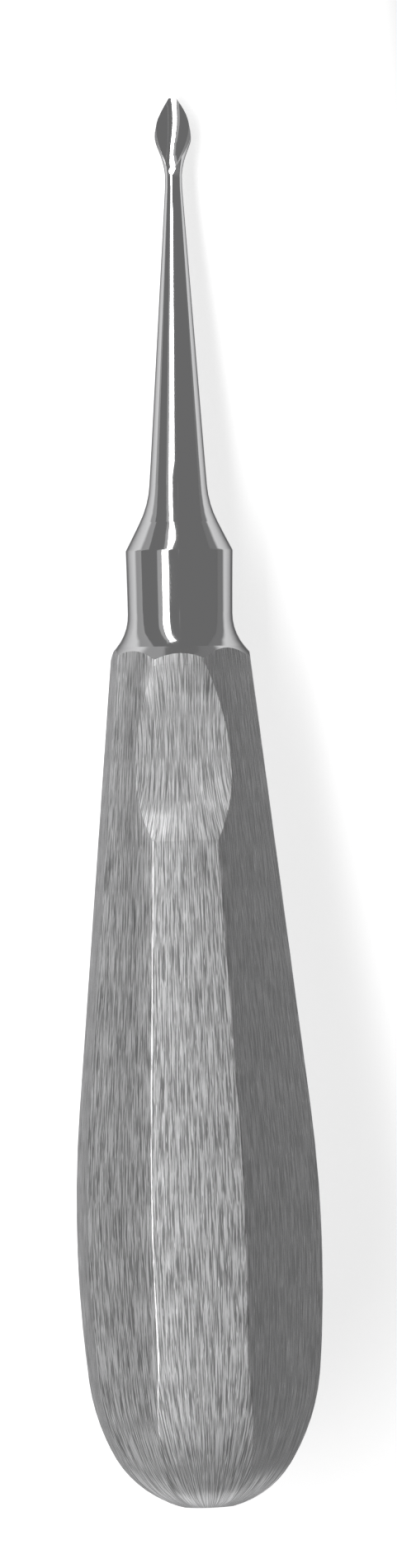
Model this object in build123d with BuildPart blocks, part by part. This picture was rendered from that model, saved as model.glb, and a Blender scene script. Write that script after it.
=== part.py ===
from build123d import *
from math import acos, asin, atan2, cos, degrees, radians, sin, tan
import os

# A straight dental elevator, one piece of stainless steel: a pear-shaped handle with eight ground
# facets, a thumb hollow, a turned neck, a tapered shank and a spear-pointed blade hollowed in front.
# It lies on the flat of its back facet, with its front up and its tip towards +Y.
# Millimetres and degrees. A station is a distance from the butt of the handle, along its axis.

# Handle
grip_half_width = 12.57
widest_station = 27.3
belly_radius = 140.0
taper_angle = 5.66
side_shoulder_radius = 22.0
side_nose_radius = 10.2
front_shoulder_radius = 25.2
front_nose_radius = 8.2
oblique_inset = 0.3
left_facet_inset = 0.5
left_facet_turn = 6.6
butt_cut_back = 0.2
butt_crown_radius = 30.0
facet_edge_radius = 0.2

# Thumb hollow in the front facet
thumb_station = 76.9
thumb_depth = 1.9
thumb_upper_radius = 28.0
thumb_lower_radius = 18.0
thumb_arc_angle = 60.0

# Turned shoulder, neck and shank
lean_station = 81.4
shank_lean = 1.1
shoulder_angle = 40.0
shoulder_sweep_radius = 5.2
neck_foot_station = 90.35
neck_foot_radius = 5.38
neck_length = 8.45
neck_top_radius = 5.53
neck_edge_radius = 0.25
collar_length = 4.73
collar_sweep_radius = 10.0
shank_root_radius = 3.12
shank_end_radius = 0.88

# Blade
overall_length = 146.0
point_length = 4.4
flare_length = 5.2
blade_half_width = 1.9
flare_root_fullness = 2.9
flare_shoulder_fullness = 1.35
leaf_shoulder_fullness = 1.6
leaf_point_fullness = 1.8
point_half_angle = 38.7
blade_roll = 13.0
back_depth = 1.35
back_depth_at_point = 0.19
back_axis_rise = 0.75
back_level_short_of_widest = 1.1
back_bend_short_of_point = 3.0
front_radius = 5.1
front_length = 8.36
front_height = 0.97
front_height_at_point = -0.03

# The round wheel that hollows the front of the blade, and the way its middle goes
wheel_radius = 3.4
wheel_entry_slope = 5.0
wheel_exit_slope = 35.0
wheel_run = 6.0
wheel_bend_short_of_point = 6.33
wheel_bend_height = 4.1
wheel_bend_radius = 8.4
wheel_low_short_of_point = 2.23
wheel_low_height = 2.58
wheel_low_radius = 3.4

# Where it rests: the middle of the flat of the back facet
rest_station = 64.5

# Room for the grinding cuts, more than the handle's own size
reach = 20.0
beyond_tip = overall_length + reach
butt_crown_angle = degrees(asin(reach / butt_crown_radius))

# The handle's axis falls towards the tip by the taper angle, so that the back facet lies level
taper = radians(taper_angle)
taper_start = widest_station + belly_radius * sin(taper)
half_width_at_butt = grip_half_width - belly_radius * (1 - cos(taper)) + taper_start * tan(taper)


def facet_half_width(station):
    """Distance from the handle's axis to the straight part of the front or back facet"""
    return half_width_at_butt - station * tan(taper)


handle = Plane(
    origin=(
        0,
        facet_half_width(rest_station) * sin(taper) - rest_station * cos(taper),
        half_width_at_butt * cos(taper),
    ),
    x_dir=(0, cos(taper), -sin(taper)),
    z_dir=(1, 0, 0),
)

# The neck, shank and blade lean a little to the right of the handle
shank = handle.moved(Location((lean_station, 0, 0), (0, -shank_lean, 0)))
shank = shank.moved(Location((-lean_station, 0, 0)))

# The blade's front and back are turned a little to the left about the shank
blade = shank.moved(Location((0, 0, 0), (-blade_roll, 0, 0)))

# Where the neck, the collar and the shank end, and how fast the shank thins
neck_top_station = neck_foot_station + neck_length
shank_root_station = neck_top_station + collar_length
widest_of_blade = overall_length - point_length
shank_end = widest_of_blade - flare_length
shank_fall = (shank_root_radius - shank_end_radius) / (shank_end - shank_root_station)


def long_axis(plane, height=0.0):
    """A line along a plane's x direction, at a height over its origin"""
    return Axis(plane.from_local_coords((0, height, 0)), plane.x_dir)


def station(point):
    """How far along the handle a point lies"""
    return handle.to_local_coords(point).X


def facet_outline(shoulder_radius, nose_radius, inset):
    """The side view of one facet: straight taper, belly, shoulder and nose, each running into the next.
    It is closed round all that the grinding leaves."""
    belly = Vector(widest_station, grip_half_width - inset - belly_radius)
    nose = Vector(nose_radius - butt_cut_back, 0)
    from_belly = belly_radius - shoulder_radius
    from_nose = shoulder_radius - nose_radius
    apart = nose - belly
    turn = acos((from_belly**2 + apart.length**2 - from_nose**2) / (2 * from_belly * apart.length))
    belly_end = atan2(apart.Y, apart.X) - turn
    shoulder = belly + Vector(cos(belly_end), sin(belly_end)) * from_belly
    shoulder_end = atan2(nose.Y - shoulder.Y, nose.X - shoulder.X)
    nose_arc = CenterArc(nose, nose_radius, 180, degrees(shoulder_end) - 180)
    CenterArc(shoulder, shoulder_radius, degrees(shoulder_end), degrees(belly_end - shoulder_end))
    belly_arc = CenterArc(belly, belly_radius, degrees(belly_end), 90 - taper_angle - degrees(belly_end))
    Polyline(
        belly_arc @ 1,
        (neck_foot_station, facet_half_width(neck_foot_station) - inset),
        (neck_foot_station, reach),
        (beyond_tip, reach),
        (beyond_tip, -reach),
        (-reach, -reach),
        nose_arc @ 0,
    )


with BuildPart() as elevator:
    # The blade starts as a turned leaf-shaped bulb, thinnest where it leaves the shank
    flare_root_station = shank_end + flare_root_fullness
    point_fullness = Vector(-leaf_point_fullness, 0).rotate(Axis.Z, -point_half_angle)
    with BuildSketch(shank):
        with BuildLine():
            flare = Bezier(
                (shank_end, shank_end_radius),
                (flare_root_station, shank_end_radius - flare_root_fullness * shank_fall),
                (widest_of_blade - flare_shoulder_fullness, blade_half_width),
                (widest_of_blade, blade_half_width),
            )
            leaf = Bezier(
                flare @ 1,
                (widest_of_blade + leaf_shoulder_fullness, blade_half_width),
                Vector(overall_length, 0) + point_fullness,
                (overall_length, 0),
            )
            Polyline(leaf @ 1, (shank_end, 0), flare @ 0)
        make_face()
    revolve(axis=long_axis(shank))

    # Its back is ground to a flatter curve, level at first and then rising to the point
    back_curve_start = widest_of_blade - back_level_short_of_widest
    with BuildSketch(blade):
        with BuildLine():
            level = Line((lean_station, -back_depth), (back_curve_start, -back_depth))
            rising = Bezier(
                level @ 1,
                (overall_length - back_bend_short_of_point, -back_depth),
                (overall_length, -back_depth_at_point),
            )
            past_point = Line(rising @ 1, rising @ 1 + rising % 1)
            Polyline(
                past_point @ 1,
                ((past_point @ 1).X, back_axis_rise),
                (lean_station, back_axis_rise),
                level @ 0,
            )
        make_face()
    revolve(axis=long_axis(blade, back_axis_rise), mode=Mode.INTERSECT)

    # Its front is ground nearly flat, falling in a straight line towards the point
    front_fall = degrees(atan2(front_height - front_height_at_point, front_length))
    front_start = (overall_length - front_length, front_height, 0)
    front_face = blade.moved(Location(front_start, (0, 0, -front_fall)))
    with BuildSketch(front_face):
        with Locations((0, -front_radius)):
            Rectangle(2 * reach, front_radius, align=(Align.CENTER, Align.MAX))
    revolve(axis=long_axis(front_face, -front_radius), mode=Mode.INTERSECT)

    # A round wheel then hollows it, sinking gently, then steeply, and rising again at the point
    wheel_bend = overall_length - wheel_bend_short_of_point
    wheel_low = overall_length - wheel_low_short_of_point
    wheel_start_height = wheel_bend_height + wheel_run * tan(radians(wheel_entry_slope))
    wheel_end_height = wheel_low_height + wheel_run * tan(radians(wheel_exit_slope))
    with BuildLine(blade) as wheel_path:
        FilletPolyline(
            (wheel_bend - wheel_run, wheel_start_height),
            (wheel_bend, wheel_bend_height),
            (wheel_low, wheel_low_height),
            (wheel_low + wheel_run, wheel_end_height),
            radius=[wheel_bend_radius, wheel_low_radius],
        )
    wheel_plane = Plane(origin=wheel_path.line @ 0, x_dir=blade.y_dir, z_dir=wheel_path.line % 0)
    with BuildSketch(wheel_plane):
        Circle(wheel_radius)
    sweep(path=wheel_path.line, mode=Mode.SUBTRACT)

    # Shoulder, neck, collar and shank, turned in one
    shoulder_top_station = neck_foot_station - (reach - neck_foot_radius) / tan(radians(shoulder_angle))
    with BuildSketch(shank):
        with BuildLine():
            turned = FilletPolyline(
                (shoulder_top_station, reach),
                (neck_foot_station, neck_foot_radius),
                (neck_top_station, neck_top_radius),
                (shank_root_station, shank_root_radius),
                (shank_end, shank_end_radius),
                radius=[shoulder_sweep_radius, neck_edge_radius, collar_sweep_radius],
            )
            Polyline(turned @ 1, (shank_end, 0), (shoulder_top_station, 0), turned @ 0)
        make_face()
    revolve(axis=long_axis(shank))

    # The handle's rod, with a crowned butt
    with BuildSketch(handle):
        with BuildLine():
            crown = CenterArc((butt_crown_radius, 0), butt_crown_radius, 180, -butt_crown_angle)
            Polyline(crown @ 1, (lean_station, reach), (lean_station, 0), crown @ 0)
        make_face()
    revolve(axis=long_axis(handle))

    # Eight facets ground round the handle, from the front one round to the right and back again
    side = (side_shoulder_radius, side_nose_radius)
    front = (front_shoulder_radius, front_nose_radius)
    for angle, radii, inset in (
        (0, front, 0),
        (45, side, oblique_inset),
        (90, side, 0),
        (135, side, oblique_inset),
        (180, front, 0),
        (225, side, oblique_inset),
        (270 + left_facet_turn, side, left_facet_inset),
        (315, side, oblique_inset),
    ):
        with BuildSketch(handle.moved(Location((0, 0, 0), (angle, 0, 0)))):
            with BuildLine():
                facet_outline(*radii, inset)
            make_face()
        extrude(amount=reach, both=True, mode=Mode.INTERSECT)

    # The long edges between the facets are slightly rounded
    long_edges = elevator.edges().filter_by(
        lambda edge: abs(station(edge @ 0) - station(edge @ 1)) > facet_edge_radius
        and station(edge @ 0.5) < neck_foot_station - shoulder_sweep_radius
    )
    fillet(long_edges, facet_edge_radius)

    # The thumb hollow, deepest at its station and steeper towards the butt
    over_hollow = (thumb_station, facet_half_width(thumb_station), 0)
    with BuildSketch(handle.moved(Location(over_hollow, (0, 0, -taper_angle)))):
        with BuildLine():
            upper_centre = (0, thumb_upper_radius - thumb_depth)
            lower_centre = (0, thumb_lower_radius - thumb_depth)
            upper = CenterArc(upper_centre, thumb_upper_radius, 270, thumb_arc_angle)
            lower = CenterArc(lower_centre, thumb_lower_radius, 270, -thumb_arc_angle)
            Polyline(upper @ 1, ((upper @ 1).X, reach), ((lower @ 1).X, reach), lower @ 1)
        make_face()
    extrude(amount=reach, both=True, mode=Mode.SUBTRACT)

elevator.part.label = "elevator"
os.makedirs("parts", exist_ok=True)
export_step(elevator.part, "parts/elevator.step")
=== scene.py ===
from math import cos, pi, radians, sin

import bpy
from mathutils import Matrix, Vector

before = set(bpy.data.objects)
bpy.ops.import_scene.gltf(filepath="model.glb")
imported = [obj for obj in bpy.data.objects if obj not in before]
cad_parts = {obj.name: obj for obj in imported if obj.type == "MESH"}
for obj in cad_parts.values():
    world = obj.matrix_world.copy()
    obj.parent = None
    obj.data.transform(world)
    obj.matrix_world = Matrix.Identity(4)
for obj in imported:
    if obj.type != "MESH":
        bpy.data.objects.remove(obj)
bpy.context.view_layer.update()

# The elevator
# One piece of stainless steel, forged, turned and ground. The eight facets and the thumb hollow are
# brushed lengthwise on a belt, and the shoulder, neck, shank and blade are polished on a buff.
millimetres = 1000
degrees = 180 / pi
taper = radians(5.66)
right_way = Vector((1, 0, 0))
axis_way = Vector((0, cos(taper), -sin(taper)))
front_way = Vector((0, sin(taper), cos(taper)))
butt = Vector((0, -0.06324, 0.01588))


class Value:
    """A number, a vector or a colour inside a material. Arithmetic on numbers adds the nodes for it."""

    def __init__(self, tree, socket=None):
        self.tree = tree
        self.socket = socket

    def node(self, kind, settings, inputs, output=0):
        made = self.tree.nodes.new("ShaderNode" + kind)
        for name, value in settings.items():
            setattr(made, name, value)
        for name, value in inputs.items():
            if isinstance(value, Value):
                self.tree.links.new(value.socket, made.inputs[name])
            else:
                made.inputs[name].default_value = value
        return Value(self.tree, made.outputs[output] if made.outputs else None)

    def sum(self, operation, *terms):
        return self.node("Math", {"operation": operation}, dict(enumerate(terms)))

    def __add__(self, other):
        return self.sum("ADD", self, other)

    def __sub__(self, other):
        return self.sum("SUBTRACT", self, other)

    def __rsub__(self, other):
        return self.sum("SUBTRACT", other, self)

    def __mul__(self, other):
        return self.sum("MULTIPLY", self, other)

    def __truediv__(self, other):
        return self.sum("DIVIDE", self, other)

    __radd__ = __add__
    __rmul__ = __mul__

    def step(self, low, high):
        """0 below low and 1 above high, smooth between"""
        return self.node(
            "MapRange",
            {"interpolation_type": "SMOOTHSTEP"},
            {"Value": self, "From Min": low, "From Max": high},
        )

    def toward(self, way):
        """How much of a vector goes one way"""
        return self.node("VectorMath", {"operation": "DOT_PRODUCT"}, {0: self, 1: way}, "Value")

    def grey(self, blue_gain=1.0):
        """A number as a grey, with a little more blue where that is asked for"""
        return self.node("CombineColor", {}, {0: self, 1: self, 2: self * blue_gain})


def new_material(name):
    """An empty material, and the start of what is worked out in it"""
    material = bpy.data.materials.new(name)
    material.use_nodes = True
    material.node_tree.nodes.clear()
    return material, Value(material.node_tree)


steel, start = new_material("steel")

# Where a point of the steel lies, in millimetres from the butt, and which way it faces
place = start.node("TexCoord", {}, {}, "Object")
from_butt = start.node("VectorMath", {"operation": "SUBTRACT"}, {0: place, 1: butt})
along = from_butt.toward(axis_way) * millimetres
height = from_butt.toward(front_way) * millimetres
across = from_butt.toward(right_way) * millimetres
outward = start.node("NewGeometry", {}, {}, "Normal")
facing_tip = outward.toward(axis_way)
facing_front = outward.toward(front_way)
facing_right = outward.toward(right_way)

# The turned and polished end, satin on the shoulder, and the brushed handle
facets_end = (78.0, 78.5)
shoulder_slope = (0.27, 0.30)
neck_foot = (89.0, 89.2)
satin_end = (86.0, 90.0)
shoulder = along.step(*facets_end) * facing_tip.step(*shoulder_slope)
polished = start.sum("MAXIMUM", along.step(*neck_foot), shoulder)
brushed = 1 - polished
satin = polished * (1 - along.step(*satin_end))


def oblique(facing_side):
    """1 on the facet half way between the front and one side"""
    off_half_way = start.sum("ABSOLUTE", facing_front - facing_side)
    return (1 - off_half_way.step(0.2, 0.3)) * facing_side.step(0.5, 0.6)


right_oblique = oblique(facing_right)
left_oblique = oblique(0 - facing_right)

# Strokes of the belt, in millimetres round the handle from the middle of the front facet
handle_radius = 10
turn_of_place = start.sum("ARCTAN2", across, height)
round_handle = turn_of_place * handle_radius


def streaks(per_millimetre_round, per_millimetre_along, detail, layer):
    """Noise between 0 and 1 drawn out lengthwise, different on each layer"""
    spread = start.node(
        "CombineXYZ",
        {},
        {0: round_handle * per_millimetre_round, 1: along * per_millimetre_along, 2: layer},
    )
    return start.node(
        "TexNoise",
        {},
        {"Vector": spread, "Scale": 1.0, "Detail": detail, "Roughness": 0.6},
    )


fine = streaks(8.0, 0.22, detail=4.0, layer=0.0)
sharp = streaks(13.0, 0.45, detail=1.0, layer=3.0)
broad = streaks(2.2, 0.05, detail=2.0, layer=7.0)
patches = streaks(0.45, 0.22, detail=2.0, layer=13.0)
turning = streaks(0.15, 5.0, detail=2.0, layer=21.0)

# The narrow ground rim round the hollow of the blade, whose front is turned a little to the left. It is
# softer than the polish, and painted lighter as a painted highlight.
blade_turn = radians(13.0)
shank_lean = 0.0192
lean_station = 81.4
hollow_start = (137.2, 137.8)
very_tip = (145.45, 145.55)
rim_slope = (0.74, 0.80)
blade_right = Vector((cos(blade_turn), 0, 0)) + front_way * sin(blade_turn)
across_shank = across - shank_lean * (along - lean_station)
off_axis = across_shank * cos(blade_turn) + height * sin(blade_turn)
falls_outward = (off_axis * outward.toward(blade_right)).step(0.0, 0.05)
rim = start.sum("MAXIMUM", along.step(*hollow_start) * falls_outward, along.step(*very_tip))
rim = rim * facing_front.step(*rim_slope)

# Tone: the brushed facets are streaked light and dark, the right front one least, with painted glints
# of light laid into the streaks
bare_tone = 0.52
brightest_tone = 0.95
blue_gain = 1.01
grain = 0.50 * (fine.step(0.40, 0.60) - 0.5)
clouding = 0.05 * (patches.step(0.3, 0.7) - 0.5)
# Painted glints: bright flecks of painted highlight in the colour of the streaks
painted_glints = 0.60 * sharp.step(0.60, 0.70)
strokes_and_painted_glints = brushed * (grain + clouding + painted_glints) * (1 - 0.6 * right_oblique)
# The blade's rim is lighter by a painted highlight
tone = bare_tone + 0.16 * rim + 0.03 * brushed + strokes_and_painted_glints
colour = start.sum("MINIMUM", tone, brightest_tone).grey(blue_gain)

# Roughness: a near mirror on the polished end, softer on the satin shoulder and the blade's rim
polished_rough = 0.055 + 0.03 * turning
brushed_rough = 0.39 + 0.10 * (fine - 0.5) - 0.12 * right_oblique
rough = polished * polished_rough + satin * 0.08 + rim * 0.20 + brushed * brushed_rough

# The facets are a little crowned, the left front one most, as a slack belt leaves them
facet_turn = 45
upper_facets_start = (69.0, 70.0)
thumb_hollow_end = (83.5, 84.5)
thumb_hollow_slope = (0.92, 0.94)
turn_of_face = start.sum("ARCTAN2", facing_right, facing_front) * degrees
facet_middle = start.sum("ROUND", turn_of_face / facet_turn) * facet_turn
off_middle = (turn_of_place * degrees - facet_middle) / (facet_turn / 2)
in_thumb_hollow = along.step(*upper_facets_start) * (1 - along.step(*thumb_hollow_end))
in_thumb_hollow = in_thumb_hollow * facing_front.step(*thumb_hollow_slope)
fullness = 0.08 + 0.40 * left_oblique
crown = (1 - off_middle * off_middle) * fullness * (1 - in_thumb_hollow)
relief = brushed * (fine * 0.010 + broad * 0.006 + crown) + polished * turning * 0.0002
bump = start.node("Bump", {}, {"Height": relief, "Strength": 1.0, "Distance": 0.001}, "Normal")

shader = start.node(
    "BsdfPrincipled",
    {},
    {
        "Base Color": colour,
        "Metallic": 1.0,
        "Roughness": rough,
        "Specular Tint": (0.20, 0.20, 0.20, 1),
        "Normal": bump,
    },
)
start.node("OutputMaterial", {}, {0: shader})

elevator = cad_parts["elevator"]
elevator.data.materials.clear()
elevator.data.materials.append(steel)

# The table
# A wide table top, white in a long painted pool of light under the instrument, with painted shade
# further off, most to the right. It glows, so that the picture and the steel show that, and it keeps
# the shadow.
table_radius = 30.0
table_corners = 96
painted_pool_edge = (0.0235, 0.036)
painted_pool_slimness = 0.15
painted_shade_left = 0.45
more_painted_shade_right = 0.17
middle = (-0.02, 0.02)
paint_share = 0.55
glow_share = 0.68
bpy.ops.mesh.primitive_circle_add(
    vertices=table_corners, radius=table_radius, fill_type="NGON", location=(0, 0, 0)
)
table = bpy.context.object
table.name = "table"
paint, start = new_material("table_white_painted_pool")
place = start.node("TexCoord", {}, {}, "Object")
sideways = place.toward(right_way)
lengthwise = place.toward(Vector((0, painted_pool_slimness, 0)))
# Painted pool of light: white near the instrument, greyer beyond as painted shade, most to the right
outside_painted_pool = start.sum("SQRT", sideways * sideways + lengthwise * lengthwise).step(*painted_pool_edge)
painted_shade_tone = painted_shade_left - more_painted_shade_right * sideways.step(*middle)
tone = 1 - outside_painted_pool * (1 - painted_shade_tone)
to_camera = start.node("LightPath", {}, {}, "Is Camera Ray")
to_metal = start.node("LightPath", {}, {}, "Is Glossy Ray")
through_glass = start.node("LightPath", {}, {}, "Is Transmission Ray")
seen = start.sum("MINIMUM", to_camera + to_metal + through_glass, 1.0)
diffuse = start.node("BsdfDiffuse", {}, {"Color": (tone * paint_share).grey()})
glow = start.node("Emission", {}, {"Color": tone.grey(), "Strength": glow_share * seen})
both = start.node("AddShader", {}, {0: diffuse, 1: glow})
start.node("OutputMaterial", {}, {0: both})
table.data.materials.append(paint)

# The room
# Plain grey walls all round. One long soft strip lamp hangs up to the left, with a faint light
# beside it, and a narrow one hangs nearly overhead. All run along the instrument.
wall_grey = 0.26
lamp_length = 4.0
lamp_distance = 1.0
lamp_shift = 0.2 * lamp_length
world = bpy.data.worlds.new("room")
bpy.context.scene.world = world
world.use_nodes = True
walls = world.node_tree.nodes["Background"]
walls.inputs["Color"].default_value = (wall_grey, wall_grey, wall_grey, 1)
walls.inputs["Strength"].default_value = 1.0


def strip(name, angle, breadth, radiance):
    """A long lamp, seen from the instrument at an angle from straight up, negative to the left"""
    lamp = bpy.data.lights.new(name, "AREA")
    lamp.shape = "RECTANGLE"
    lamp.size = breadth
    lamp.size_y = lamp_length
    lamp.energy = radiance * breadth * lamp_length * pi
    box = bpy.data.objects.new(name, lamp)
    bpy.context.scene.collection.objects.link(box)
    turn = radians(angle)
    box.location = (lamp_distance * sin(turn), lamp_shift, lamp_distance * cos(turn))
    box.rotation_euler = (0, turn, 0)
    box.visible_camera = False


strip("strip_lamp", angle=-30.5, breadth=0.25, radiance=6.4)
strip("lamp_edge", angle=-44.0, breadth=0.16, radiance=0.35)
strip("ceiling_gap", angle=-8.0, breadth=0.03, radiance=0.2)

# The camera
# It looks square onto the front of the handle from afar. The picture is turned so that the handle
# leans a little to the left, and it is measured in pixels from its upper left corner.
picture_width = 481
picture_height = 1901
pixel = 0.00008513
butt_row = 1828
axis_pixel = Vector((222.8, 950.5))
lean = radians(1.97)
distance = 1.2
picture_up = Matrix.Rotation(-lean, 3, front_way) @ axis_way
picture_right = picture_up.cross(front_way)
up_the_axis = axis_way * (butt_row - axis_pixel.y) * pixel
sideways_shift = picture_right * (picture_width / 2 - axis_pixel.x) * pixel
centre = butt + up_the_axis + sideways_shift
camera = bpy.data.cameras.new("camera")
camera.sensor_width = 36
camera.lens = camera.sensor_width * distance / (picture_height * pixel)
camera.clip_end = 200
viewer = bpy.data.objects.new("camera", camera)
bpy.context.scene.collection.objects.link(viewer)
viewer.matrix_world = Matrix((picture_right, picture_up, front_way)).transposed().to_4x4()
viewer.location = centre + front_way * distance
bpy.context.scene.camera = viewer
bpy.context.scene.view_settings.view_transform = "Standard"
